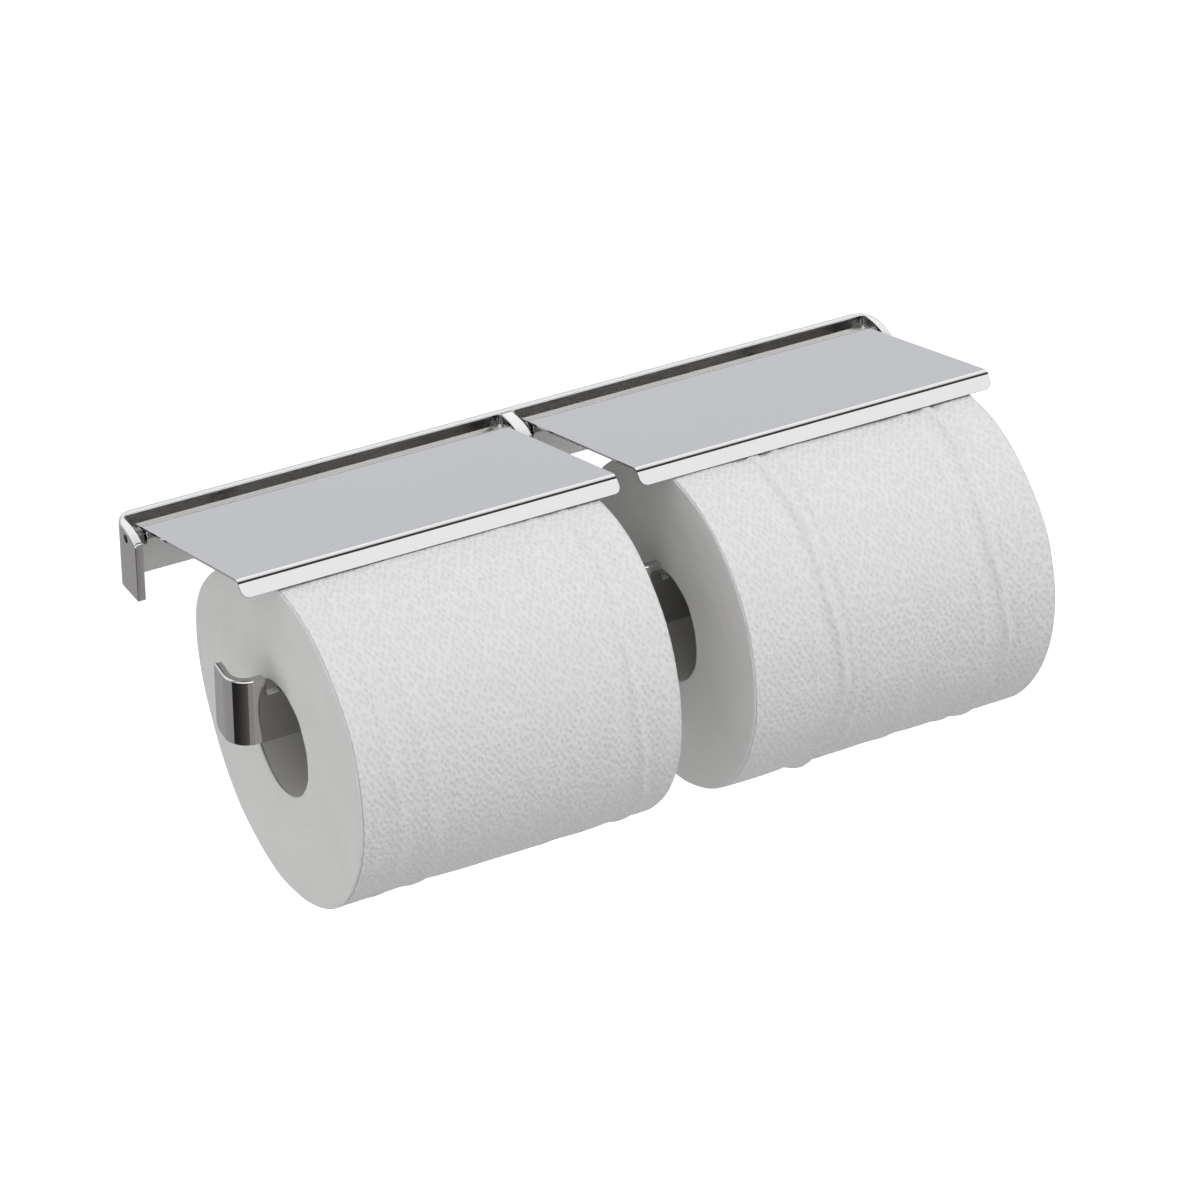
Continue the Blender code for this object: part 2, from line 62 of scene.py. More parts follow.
# %% Read places from the model's boxes
rail_low, rail_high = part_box("back_rail")
divider_low, divider_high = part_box("center_divider")
HALF_RAIL = rail_high.x
RAIL_TOP, RAIL_BOTTOM = rail_high.z, rail_low.z
EAR_DEPTH = -rail_low.y
HALF_DIVIDER = divider_high.x
RAIL_THICKNESS = 0.003
EAR_INNER = HALF_RAIL - RAIL_THICKNESS
SIDES = {"left": -1, "right": 1}
pin_low, pin_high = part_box("left_hinge_pin")
PIN_Y = (pin_low.y + pin_high.y) / 2
PIN_Z = (pin_low.z + pin_high.z) / 2
PIN_RADIUS = (pin_high.z - pin_low.z) / 2
PIN_HOLE_GAP = 0.0003
PIN_HOLE_RADIUS = PIN_RADIUS + PIN_HOLE_GAP
print("rail", round(2 * HALF_RAIL, 4), "pin at", round(PIN_Y, 4), round(PIN_Z, 4))

# %% [markdown]
# ## Helpers for bent bar and sheet
#
# Bar, sheet and round bar are the same thing to a modeller: a section with the same number of points
# all along, joined from one place to the next. The arcs here have many more steps than the model's
# own, because polished metal shows every corner of a coarse bend.

# %% Arcs, and solids through a row of sections
BEND_STEPS = 28
HOLE_SIDES = 48
SMALL_SIDES = 32


def arc(centre, radius, start, end, steps=BEND_STEPS):
    points = []
    for step in range(steps + 1):
        angle = math.radians(start + (end - start) * step / steps)
        points.append((centre[0] + radius * math.cos(angle), centre[1] + radius * math.sin(angle)))
    return points


def circle(centre, radius, sides):
    return arc(centre, radius, 0, 360 - 360 / sides, sides - 1)


def add_object(name, data):
    made = bpy.data.objects.new(name, data)
    bpy.context.scene.collection.objects.link(made)
    return made


def sweep(name, sections):
    """A closed solid through sections that all have the same number of points."""
    work = bmesh.new()
    rows = [[work.verts.new(point) for point in section] for section in sections]
    count = len(rows[0])
    work.faces.new(rows[-1])
    work.faces.new(rows[0][::-1])
    for first, second in zip(rows, rows[1:]):
        for index in range(count):
            after = (index + 1) % count
            work.faces.new((first[index], first[after], second[after], second[index]))
    bmesh.ops.recalc_face_normals(work, faces=work.faces)
    mesh = bpy.data.meshes.new(name)
    work.to_mesh(mesh)
    work.free()
    return add_object(name, mesh)


# %% Flat outlines and round bars
def on_plan(across, up, level):
    return (across, up, level)


def on_side(across, up, level):
    return (level, across, up)


def on_front(across, up, level):
    return (across, level, up)


def prism(name, outline, low, high, place):
    """A flat outline made solid between two levels; place turns (across, up, level) into x, y, z."""
    return sweep(name, [[place(across, up, level) for across, up in outline] for level in (low, high)])


def rod(name, radius, start, end, y, z, sides=HOLE_SIDES):
    """A round bar along X."""
    return prism(name, circle((y, z), radius, sides), start, end, on_side)


def turned(name, profile, x, z, sides=HOLE_SIDES):
    """A solid turned round an axis along Y; the profile runs as (y, radius) from back to front."""
    rings = [(y, circle((x, z), radius, sides)) for y, radius in profile]
    return sweep(name, [[(across, y, up) for across, up in ring] for y, ring in rings])


# %% [markdown]
# ## Helpers for drilling and for ground edges
#
# A hole is a Boolean with a rod as the drill. A Bevel rounds the ground edges, and an edge can carry
# a weight where the real edge is sharper than the others. A Weighted Normal then keeps the flats
# flat. Every modifier is applied at once, so that a later step works on the mesh as it looks.

# %% Drilling
EDGE_SEGMENTS = 4
FINE_SEGMENTS = 2
EDGE_ANGLE = math.radians(32)
OVERRUN = 0.002


def apply_modifiers(piece):
    """Turn the modifiers' result into the piece's own mesh."""
    bpy.context.view_layer.update()
    evaluated = piece.evaluated_get(bpy.context.evaluated_depsgraph_get())
    piece.data = bpy.data.meshes.new_from_object(evaluated)
    piece.modifiers.clear()


def cut(piece, *cutters):
    for cutter in cutters:
        step = piece.modifiers.new("cut", "BOOLEAN")
        step.object = cutter
        step.operation = "DIFFERENCE"
        step.solver = "EXACT"
    apply_modifiers(piece)
    for cutter in cutters:
        bpy.data.objects.remove(cutter, do_unlink=True)


def pin_drill(start, end, y=PIN_Y, z=PIN_Z, sides=HOLE_SIDES):
    return rod("pin_drill", PIN_HOLE_RADIUS, start - OVERRUN, end + OVERRUN, y, z, sides)


# %% Rounding and shading the edges
def shade(mesh):
    """Smooth over shallow edges, and keep the others sharp."""
    mesh.shade_smooth()
    mesh.set_sharp_from_angle(angle=EDGE_ANGLE)


def flatten_flats(piece):
    shade(piece.data)
    weights = piece.modifiers.new("flat_faces", "WEIGHTED_NORMAL")
    weights.mode = "FACE_AREA"
    weights.keep_sharp = True
    apply_modifiers(piece)


def weigh_edges(mesh, share_of):
    """Give each sharp edge its share of the bevel's full width."""
    work = bmesh.new()
    work.from_mesh(mesh)
    weight = work.edges.layers.float.new("bevel_weight_edge")
    for edge in work.edges:
        if len(edge.link_faces) == 2 and edge.calc_face_angle() > EDGE_ANGLE:
            edge[weight] = share_of(edge.verts[0].co, edge.verts[1].co)
    work.to_mesh(mesh)
    work.free()


def soften(piece, width, segments=EDGE_SEGMENTS, share_of=None):
    """Round the ground edges; share_of gives an edge's share of the full width from its two ends."""
    bevel = piece.modifiers.new("ground_edges", "BEVEL")
    bevel.width = width
    bevel.segments = segments
    bevel.limit_method = "WEIGHT" if share_of else "ANGLE"
    bevel.angle_limit = EDGE_ANGLE
    bevel.miter_outer = "MITER_ARC"
    if share_of:
        weigh_edges(piece.data, share_of)
    apply_modifiers(piece)
    flatten_flats(piece)


# %% [markdown]
# ## Finish: polished and ground steel
#
# Polished steel is almost a mirror, so most of its look is what stands around it. What is its own is
# the neutral grey, the hazy patches that a polishing wheel leaves, and very fine lines along the bar.
# Noise drives the tint and the roughness for the haze, and a stretched noise gives the lines as bump.
# The rail is only ground, not polished: it is rougher, so that things close to it blur in its face.

# %% Nodes and a new material
def node(tree, kind, **settings):
    made = tree.nodes.new(kind)
    for name, value in settings.items():
        setattr(made, name, value)
    return made


def new_material(name):
    material = bpy.data.materials.new(name)
    material.use_nodes = True
    tree = material.node_tree
    return material, tree, tree.nodes["Principled BSDF"]


# %% Places and noise
def own_place(tree):
    return node(tree, "ShaderNodeTexCoord").outputs["Object"]


def ranged(tree, source, low, high):
    """Stretch a value from 0..1 to low..high."""
    stretch = node(tree, "ShaderNodeMapRange")
    stretch.inputs["To Min"].default_value = low
    stretch.inputs["To Max"].default_value = high
    tree.links.new(source, stretch.inputs["Value"])
    return stretch.outputs["Result"]


def mapped(tree, vector, scale, turn=0.0):
    """Coordinates scaled along each axis and then turned in their plane."""
    mapping = node(tree, "ShaderNodeMapping")
    mapping.inputs["Scale"].default_value = scale
    mapping.inputs["Rotation"].default_value = (0, 0, turn)
    tree.links.new(vector, mapping.inputs["Vector"])
    return mapping.outputs["Vector"]


def noise_node(tree, vector, scale, detail=3, roughness=0.5):
    made = node(tree, "ShaderNodeTexNoise")
    made.inputs["Scale"].default_value = scale
    made.inputs["Detail"].default_value = detail
    made.inputs["Roughness"].default_value = roughness
    tree.links.new(vector, made.inputs["Vector"])
    return made.outputs["Fac"]


# %% Tint and bump
def tinted(tree, shader, factor, first, second):
    """Base colour between two tints."""
    tint = node(tree, "ShaderNodeMix", data_type="RGBA")
    tint.inputs["A"].default_value = (*first, 1)
    tint.inputs["B"].default_value = (*second, 1)
    tree.links.new(factor, tint.inputs["Factor"])
    tree.links.new(tint.outputs["Result"], shader.inputs["Base Color"])


def bumped(tree, shader, height, strength, distance):
    bump = node(tree, "ShaderNodeBump")
    bump.inputs["Strength"].default_value = strength
    bump.inputs["Distance"].default_value = distance
    tree.links.new(height, bump.inputs["Height"])
    tree.links.new(bump.outputs["Normal"], shader.inputs["Normal"])


# %% Polished, ground and greased steel
STEEL_COLOUR = (0.492, 0.486, 0.478)
# The darker colour below is painted shade, given to the washers for the shaded gap beside the lids
WASHER_PAINTED_SHADE_COLOUR = (0.17, 0.165, 0.16)
HAZE_SHADE = 0.95
POLISHING_LINES = (40, 900, 900)


def steel_finish(name, colour, low, high):
    """Steel whose roughness wanders between low and high."""
    material, tree, shader = new_material(name)
    place = own_place(tree)
    shader.inputs["Metallic"].default_value = 1.0
    haze = ranged(tree, noise_node(tree, place, scale=22, detail=4), 0.0, 0.6)
    tinted(tree, shader, haze, colour, [part * HAZE_SHADE for part in colour])
    patches = noise_node(tree, place, scale=60, detail=5, roughness=0.6)
    tree.links.new(ranged(tree, patches, low, high), shader.inputs["Roughness"])
    lines = noise_node(tree, mapped(tree, place, POLISHING_LINES), scale=1.0, detail=2)
    bumped(tree, shader, lines, strength=0.02, distance=0.00001)
    return material


steel = steel_finish("polished_steel", STEEL_COLOUR, low=0.03, high=0.065)
ground_steel = steel_finish("ground_steel", STEEL_COLOUR, low=0.16, high=0.19)
# A washer isn't polished; its near-black colour is painted shade, standing for the shade in the narrow gap
# beside the lid
painted_shade_steel = steel_finish("painted_shade_steel", WASHER_PAINTED_SHADE_COLOUR, low=0.32, high=0.5)
print("made", steel.name, ground_steel.name, painted_shade_steel.name)


# %% Hand a finished piece to the frame
def place_piece(piece, body, material, slot, *replaced):
    """Give a finished piece its body, its finish and the nodes that it stands for."""
    piece.data.materials.clear()
    piece.data.materials.append(material)
    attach(piece, body)
    if replaced:
        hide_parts(*replaced)
    print(piece.name, len(piece.data.polygons), "faces")


# %% [markdown]
# ## The rail and its ears
#
# One strip of flat bar, bent forward at both ends. The ears' top edge falls in a curve to the front.
# The strip is built station by station along its plan: four points at each station, so the falling
# edge is part of the mesh and needs no cutting. Drills then make the pin holes and the screw holes.

# %% The plan of the rail
RAIL_CORNER_RADIUS = 0.008
RAIL_INNER_RADIUS = 0.0016
CROWN_START = 0.008
CROWN_DROP = 0.0026
CROWN_STATIONS = 12


def crown_height(y):
    """Height of the ear's top edge at a depth y."""
    run = max(0.0, -y - CROWN_START)
    reach = EAR_DEPTH - CROWN_START
    radius = (reach * reach + CROWN_DROP * CROWN_DROP) / (2 * CROWN_DROP)
    return RAIL_TOP - (radius - math.sqrt(radius * radius - run * run))


def strip(name, outer, inner):
    """A bar between two plan lines, its top edge following the crown."""
    sections = []
    for (ox, oy), (ix, iy) in zip(outer, inner):
        top = [(ox, oy, crown_height(oy)), (ix, iy, crown_height(iy))]
        sections.append(top + [(ix, iy, RAIL_BOTTOM), (ox, oy, RAIL_BOTTOM)])
    return sweep(name, sections)


def plan_line(ear_x, back_y, radius):
    """One side of the strip: up the left ear, round both bends and down the right ear."""
    straight = EAR_DEPTH - RAIL_CORNER_RADIUS
    depths = [-EAR_DEPTH + straight * step / CROWN_STATIONS for step in range(CROWN_STATIONS)]
    bend_x, bend_y = ear_x - radius, back_y - radius
    line = [(-ear_x, y) for y in depths]
    line += arc((-bend_x, bend_y), radius, 180, 90) + arc((bend_x, bend_y), radius, 90, 0)
    return line + [(ear_x, y) for y in reversed(depths)]


outer_line = plan_line(HALF_RAIL, 0, RAIL_CORNER_RADIUS)
inner_line = plan_line(EAR_INNER, -RAIL_THICKNESS, RAIL_INNER_RADIUS)
rail = strip("rail_and_ears", outer_line, inner_line)
print("rail strip", len(rail.data.vertices), "points")

# %% Round the rail's edges
RAIL_EDGE = 0.001
SHARP_SHARE = 0.32
INNER_SHARE = 0.35
NEAR = 0.0008
UPRIGHT_RISE = 4 * NEAR


def rail_share(one, other):
    """The outer top edge is ground round; the inner top edge, uprights and bottom stay nearly sharp."""
    if abs(one.z - other.z) > UPRIGHT_RISE or max(one.z, other.z) < 0:
        return SHARP_SHARE
    at_end = max(one.y, other.y) < NEAR - EAR_DEPTH
    if at_end and abs(one.x - other.x) > NEAR:
        return 1.0
    outside_ear = max(abs(one.x), abs(other.x)) > EAR_INNER + NEAR
    at_wall = min(one.y, other.y) > -NEAR
    return 1.0 if outside_ear or at_wall else INNER_SHARE


soften(rail, RAIL_EDGE, share_of=rail_share)

# %% Drill the rail
SCREW_X = 0.104
SCREW_RADIUS = 0.0024
COUNTERSINK_RADIUS = 0.0046


def screw_drill(x):
    """A drill with a countersunk mouth, as one cutter."""
    depth = COUNTERSINK_RADIUS - SCREW_RADIUS
    profile = [
        (OVERRUN, SCREW_RADIUS),
        (depth - RAIL_THICKNESS, SCREW_RADIUS),
        (-RAIL_THICKNESS - OVERRUN, COUNTERSINK_RADIUS + OVERRUN),
    ]
    return turned("screw_drill", profile, x, 0)


cut(
    rail,
    pin_drill(-HALF_RAIL, -EAR_INNER),
    pin_drill(EAR_INNER, HALF_RAIL),
    screw_drill(-SCREW_X),
    screw_drill(SCREW_X),
)
flatten_flats(rail)
place_piece(rail, "frame", ground_steel, "back_rail", "back_rail")

# %% [markdown]
# ## The wall screws
#
# Two screws with raised countersunk heads hold the rail to the wall, hidden behind the lids but for the
# upper edge of each head. A head is a profile turned round the screw's axis: the cone that sits in the
# countersink and a low dome in front. A hexagonal key recess is cut into the dome. The thread would be
# in the wall, so each screw ends flush with the back of the rail.

# %% Build the wall screws
HEAD_GAP = 0.0003
SHANK_GAP = 0.0004
HEAD_RADIUS = COUNTERSINK_RADIUS - HEAD_GAP
SHANK_RADIUS = SCREW_RADIUS - SHANK_GAP
DOME_HEIGHT = 0.0011
DOME_STEPS = 11
KEY_RADIUS = 0.0016
KEY_DEPTH = 0.0016
KEY_SIDES = 6
FLUSH = 0.0002
HEAD_RIM = -RAIL_THICKNESS - FLUSH / 2
HEAD_FRONT = HEAD_RIM - DOME_HEIGHT


def screw_profile():
    cone_start = HEAD_RIM + HEAD_RADIUS - SHANK_RADIUS
    profile = [(-FLUSH, SHANK_RADIUS), (cone_start, SHANK_RADIUS), (HEAD_RIM, HEAD_RADIUS)]
    for step in range(1, DOME_STEPS):
        turn = math.pi / 2 * step / DOME_STEPS
        profile.append((HEAD_RIM - DOME_HEIGHT * math.sin(turn), HEAD_RADIUS * math.cos(turn)))
    return profile


for side, sign in SIDES.items():
    screw = turned(side + "_wall_screw", screw_profile(), sign * SCREW_X, 0)
    key_profile = [(HEAD_FRONT + KEY_DEPTH, KEY_RADIUS), (HEAD_FRONT - FLUSH, KEY_RADIUS)]
    cut(screw, turned("key", key_profile, sign * SCREW_X, 0, KEY_SIDES))
    flatten_flats(screw)
    place_piece(screw, "frame", steel, "back_rail")

# %% [markdown]
# ## The divider and its weld
#
# A thicker upright stands in the middle of the rail, with the same falling top edge. On the real one
# it is welded on and polished over, which leaves a small hollow fillet in the corner. The fillet is
# a thin strip with a curved face that also closes the seam between the two solids.

# %% Build the divider
DIVIDER_EDGE = 0.0009
run = EAR_DEPTH - RAIL_THICKNESS
divider_depths = [-EAR_DEPTH + run * step / CROWN_STATIONS for step in range(CROWN_STATIONS + 1)]
divider_lines = [[(x, y) for y in divider_depths] for x in (-HALF_DIVIDER, HALF_DIVIDER)]
divider = strip("divider", *divider_lines)
soften(divider, DIVIDER_EDGE)
cut(divider, pin_drill(-HALF_DIVIDER, HALF_DIVIDER))
flatten_flats(divider)
place_piece(divider, "frame", steel, "center_divider", "center_divider")

# %% Build its fillets
FILLET = 0.0014
FILLET_STEPS = 10
FILLET_IN_DIVIDER = 0.0003
FILLET_IN_RAIL = 0.0002
FILLET_SHORT = 0.0004
for side, sign in SIDES.items():
    corner = (sign * (HALF_DIVIDER + FILLET), -RAIL_THICKNESS - FILLET)
    outline = arc(corner, FILLET, 180 if sign > 0 else 0, 90, FILLET_STEPS)
    outline.append((sign * (HALF_DIVIDER - FILLET_IN_DIVIDER), FILLET_IN_RAIL - RAIL_THICKNESS))
    low, high = RAIL_BOTTOM + FILLET_SHORT, RAIL_TOP - FILLET_SHORT
    fillet = prism("weld_fillet_" + side, outline, low, high, on_plan)
    shade(fillet.data)
    place_piece(fillet, "frame", steel, "center_divider")

# %% [markdown]
# ## Hinge pins and washers
#
# The lids turn on short pins. Each pin sits a little back in its hole, and a steel washer fills most
# of the space beside the lid. Both are round bars with a broken edge, so a prism with a bevel does,
# and the model's boxes give their lengths.

# %% Build the pins and washers
PIN_EDGE = 0.0003
WASHER_EDGE = 0.0002
for name in ("left_hinge_pin", "center_hinge_pin", "right_hinge_pin"):
    low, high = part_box(name)
    pin = rod(name + "_turned", PIN_RADIUS, low.x, high.x, PIN_Y, PIN_Z, SMALL_SIDES)
    soften(pin, PIN_EDGE, FINE_SEGMENTS)
    place_piece(pin, "frame", steel, name, name)

for side in SIDES:
    for place in ("ear", "divider"):
        name = side + "_" + place + "_washer"
        low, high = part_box(name)
        radius = (high.z - low.z) / 2
        washer = rod(name + "_turned", radius, low.x, high.x, PIN_Y, PIN_Z, SMALL_SIDES)
        cut(washer, pin_drill(low.x, high.x, sides=SMALL_SIDES))
        soften(washer, WASHER_EDGE, FINE_SEGMENTS)
        # The washers' dark steel is painted shade for the gap beside the lid
        place_piece(washer, "frame", painted_shade_steel, name, name)

# %% [markdown]
# ## The lids
#
# Each lid is a sheet 0.8 mm thick. Its rear edge is folded down into a stiff flange behind the pins, and
# its front edge is turned down into a lip with rounded corners. The path of the sheet's middle line is
# walked from the flange to the lip's end, with the way that the sheet faces at each point, so both
# skins follow from it. Two lugs join the flange and hold the pins. Everything is drawn in the lid's own
# level frame on the pin line, then the mesh is turned to the angle at which the lip lies on the roll.

# %% The path of a lid's sheet
LID_THICKNESS = 0.0008
LID_REAR_OVERHANG = 0.0053
LID_FOLD_RADIUS = 0.0005
LID_FLAT_LENGTH = 0.0825
LID_BEND_RADIUS = 0.0026
FLANGE_MIDDLE = LID_REAR_OVERHANG - LID_THICKNESS / 2
FOLD_STEPS = 12
LIP_ANGLE = math.radians(60)
LIP_LENGTH = 0.0048
LIP_CORNER_RADIUS = 0.0027
LIP_STEPS = 12
LUG_STANDOFF = 0.002
LUG_RADIUS = 0.0036
LID_LEVEL = LUG_STANDOFF + LID_THICKNESS / 2


def bend_stations(level_at, radius, first, last, steps):
    """A bend from facing first to facing last; the sheet would lie level at level_at."""
    stations = []
    for step in range(steps + 1):
        turn = first + (last - first) * step / steps
        height = LID_LEVEL - radius * (1 - math.cos(turn))
        stations.append((level_at + radius * math.sin(turn), height, turn, 0.0))
    return stations


def lid_stations():
    """Points of the middle line: forward, height, the way the sheet faces, how far the corner cuts in."""
    fold_at, bend_at = LID_FOLD_RADIUS - FLANGE_MIDDLE, LID_FLAT_LENGTH - LID_REAR_OVERHANG
    stations = [(-FLANGE_MIDDLE, -LUG_RADIUS, -math.pi / 2, 0.0)]
    stations += bend_stations(fold_at, LID_FOLD_RADIUS, -math.pi / 2, 0, FOLD_STEPS)
    stations += bend_stations(bend_at, LID_BEND_RADIUS, 0, LIP_ANGLE, BEND_STEPS)
    forward, height = stations[-1][:2]
    for step in range(LIP_STEPS + 1):
        swing = math.pi / 2 * step / LIP_STEPS
        reach = LIP_LENGTH - LIP_CORNER_RADIUS * (1 - math.sin(swing))
        inset = LIP_CORNER_RADIUS * (1 - math.cos(swing))
        end = (forward + reach * math.cos(LIP_ANGLE), height - reach * math.sin(LIP_ANGLE))
        stations.append((*end, LIP_ANGLE, inset))
    return stations


def lid_sheet(name, left, right):
    """Both skins of the sheet, half its thickness to each side of the middle line."""
    sections = []
    for forward, height, turn, inset in lid_stations():
        ahead, up = math.sin(turn) * LID_THICKNESS / 2, math.cos(turn) * LID_THICKNESS / 2
        ends = (left + inset, right - inset)
        top = [(x, -forward - ahead, height + up) for x in ends]
        under = [(x, -forward + ahead, height - up) for x in reversed(ends)]
        sections.append(top + under)
    return sweep(name, sections)


print("lid path:", len(lid_stations()), "stations")

# %% Build the lids and their lugs
LID_TILT = math.radians(14.65)
LID_EDGE = 0.0002
LUG_EDGE = 0.00015
LUG_INSET = 0.0003
LUG_STEPS = 20
lid_turn = Matrix.Translation((0, PIN_Y, PIN_Z)) @ Matrix.Rotation(-LID_TILT, 4, "X")
lug_outline = [(FLANGE_MIDDLE, LID_LEVEL), (FLANGE_MIDDLE, -LUG_RADIUS)]
lug_outline += arc((0, 0), LUG_RADIUS, -90, -180, LUG_STEPS) + [(-LUG_RADIUS, LID_LEVEL)]


def add_lug(name, end, edge):
    lug = prism(name + "_" + end + "_lug", lug_outline, edge, edge + LID_THICKNESS, on_side)
    cut(lug, pin_drill(edge, edge, 0, 0, SMALL_SIDES))
    soften(lug, LUG_EDGE, FINE_SEGMENTS)
    lug.data.transform(lid_turn)
    place_piece(lug, name, steel, name)


for side in SIDES:
    name = side + "_lid"
    low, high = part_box(name)
    lid = lid_sheet(name + "_sheet", low.x, high.x)
    soften(lid, LID_EDGE, FINE_SEGMENTS)
    lid.data.transform(lid_turn)
    place_piece(lid, name, steel, name, name)
    add_lug(name, "left", low.x + LUG_INSET)
    add_lug(name, "right", high.x - LUG_INSET - LID_THICKNESS)

# %% [markdown]
# ## The arms
#
# Each arm is flat bar again, bent twice: the lip at its free end, and the side plate that runs up to
# the rail. The front bar has a step down from the tab, so the roll's tube drops behind the tab and
# stays on. The plan is made solid, and front and side outlines then trim its height.

# %% Sizes of an arm
ARM_THICKNESS = 0.003
ARM_HEIGHT = 0.0251
ARM_NOTCH_DEPTH = 0.0065
ARM_LIP_LENGTH = 0.0163
ARM_LIP_TRIM = 0.0003
ARM_LIP_LEAN = math.radians(5)
ARM_BEND_RADIUS = 0.008
ARM_LIP_TOP_CORNER = 0.001
ARM_LIP_BOTTOM_CORNER = 0.003
ARM_TAB_CORNER = 0.0013
ARM_TAB_WIDTH = 0.0119
ARM_NOTCH_TO_ROOT = 0.1318
ARM_BAR_TOP = -0.0139
ARM_TAB_TOP = ARM_BAR_TOP + ARM_NOTCH_DEPTH
ARM_BOTTOM = ARM_TAB_TOP - ARM_HEIGHT
ARM_ROOT_TOP = 0.0002
ARM_EDGE = 0.0007
SLOPE_STEPS = 26
CORNER_STEPS = 8
ABOVE, BELOW = ARM_ROOT_TOP + OVERRUN, ARM_BOTTOM - OVERRUN
print("arm height", round(ARM_ROOT_TOP - ARM_BOTTOM, 4))


# %% The plan of an arm
def arm_plan(front, outer, back):
    """The bar seen from above, and how far back its lip reaches."""
    notch = outer - ARM_NOTCH_TO_ROOT
    inner_radius = ARM_BEND_RADIUS - ARM_THICKNESS
    root = (outer - ARM_BEND_RADIUS, front + ARM_BEND_RADIUS)
    lip = (notch - ARM_TAB_WIDTH + ARM_BEND_RADIUS, front + ARM_BEND_RADIUS)
    lip_turn = 90 + math.degrees(ARM_LIP_LEAN)
    straight = ARM_LIP_LENGTH - ARM_BEND_RADIUS
    step = (straight * math.sin(ARM_LIP_LEAN), straight * math.cos(ARM_LIP_LEAN))
    outside = arc(lip, ARM_BEND_RADIUS, 270, 270 - lip_turn)
    inside = arc(lip, inner_radius, 270 - lip_turn, 270)
    tip = (outside[-1][0] + step[0], outside[-1][1] + step[1])
    inner_tip = (inside[0][0] + step[0], inside[0][1] + step[1])
    plan = [(outer, back)] + arc(root, ARM_BEND_RADIUS, 0, -90)
    plan += outside + [tip, inner_tip] + inside
    plan += arc(root, inner_radius, -90, 0) + [(outer - ARM_THICKNESS, back)]
    return plan, min(tip[1], inner_tip[1]) - ARM_LIP_TRIM


# %% The trims of an arm
def slope(start, end):
    """A smooth rise from one point to another, level at both ends."""
    points = []
    for step in range(SLOPE_STEPS + 1):
        share = step / SLOPE_STEPS
        rise = (1 - math.cos(math.pi * share)) / 2
        points.append((start[0] + (end[0] - start[0]) * share, start[1] + (end[1] - start[1]) * rise))
    return points


def bar_trim(front, notch, outer):
    """What is above the front bar and the side plate."""
    outline = [(front - OVERRUN, ARM_BAR_TOP)]
    outline += slope((front + ARM_BEND_RADIUS, ARM_BAR_TOP), (-EAR_DEPTH, ARM_ROOT_TOP))
    outline += [(-EAR_DEPTH, ABOVE), (front - OVERRUN, ABOVE)]
    return prism("bar_trim", outline, notch, outer + OVERRUN, on_side)


def root_trim(front, outer):
    """What is below the side plate."""
    start = front + ARM_BEND_RADIUS
    outline = slope((start, ARM_BOTTOM), (-EAR_DEPTH, RAIL_BOTTOM))
    outline += [(OVERRUN, RAIL_BOTTOM), (OVERRUN, BELOW), (start, BELOW)]
    return prism("root_trim", outline, outer - ARM_THICKNESS - OVERRUN, outer + OVERRUN, on_side)


def tab_trim(front, notch):
    """What is above the tab, with the tab's rounded corner."""
    left = notch - ARM_TAB_WIDTH - OVERRUN
    corner = (notch - ARM_TAB_CORNER, ARM_TAB_TOP - ARM_TAB_CORNER)
    outline = [(left, ARM_TAB_TOP)] + arc(corner, ARM_TAB_CORNER, 90, 0, CORNER_STEPS)
    outline += [(notch + OVERRUN, corner[1]), (notch + OVERRUN, ABOVE), (left, ABOVE)]
    return prism("tab_trim", outline, front - OVERRUN, front + ARM_LIP_LENGTH + OVERRUN, on_front)


def lip_trim(notch, end):
    """What is behind the lip's end, with both of its rounded corners."""
    lower = (end - ARM_LIP_BOTTOM_CORNER, ARM_BOTTOM + ARM_LIP_BOTTOM_CORNER)
    upper = (end - ARM_LIP_TOP_CORNER, ARM_TAB_TOP - ARM_LIP_TOP_CORNER)
    outline = [(lower[0], BELOW)] + arc(lower, ARM_LIP_BOTTOM_CORNER, -90, 0, CORNER_STEPS)
    outline += arc(upper, ARM_LIP_TOP_CORNER, 0, 90, CORNER_STEPS)
    outline += [(upper[0], ABOVE), (end + OVERRUN, ABOVE), (end + OVERRUN, BELOW)]
    centre, reach = notch - ARM_TAB_WIDTH, ARM_BEND_RADIUS + OVERRUN
    return prism("lip_trim", outline, centre - reach, centre + reach, on_side)


# %% Build the arms
for side in SIDES:
    name = side + "_arm"
    low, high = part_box(name)
    front, outer, back = low.y, high.x, high.y
    notch = outer - ARM_NOTCH_TO_ROOT
    plan, lip_end = arm_plan(front, outer, back)
    arm = prism(name + "_bar", plan, ARM_BOTTOM, ARM_ROOT_TOP, on_plan)
    cut(arm, bar_trim(front, notch, outer))
    cut(arm, root_trim(front, outer))
    cut(arm, tab_trim(front, notch))
    cut(arm, lip_trim(notch, lip_end))
    soften(arm, ARM_EDGE)
    place_piece(arm, "frame", steel, name, name)

# %% [markdown]
# ## Finish: embossed tissue
#
# The tissue is white and quite matt, with a fine staggered pattern of embossed dots. A square grid of
# cells turned by 45 degrees is a staggered grid, so a Voronoi texture with some randomness gives the
# dots, stretched round the roll because the real ones stand further apart that way. Their place comes
# from the roll's own unrolled coordinates, so they wrap round it evenly.

# %% Embossed tissue
DOT_PITCH = 0.00165
DOT_STRETCH_SHARE = 0.58
DOT_REACH = 0.58
FIBRE_HEIGHT = 1.5


def unrolled_place(tree):
    return node(tree, "ShaderNodeUVMap", uv_map="unrolled").outputs["UV"]


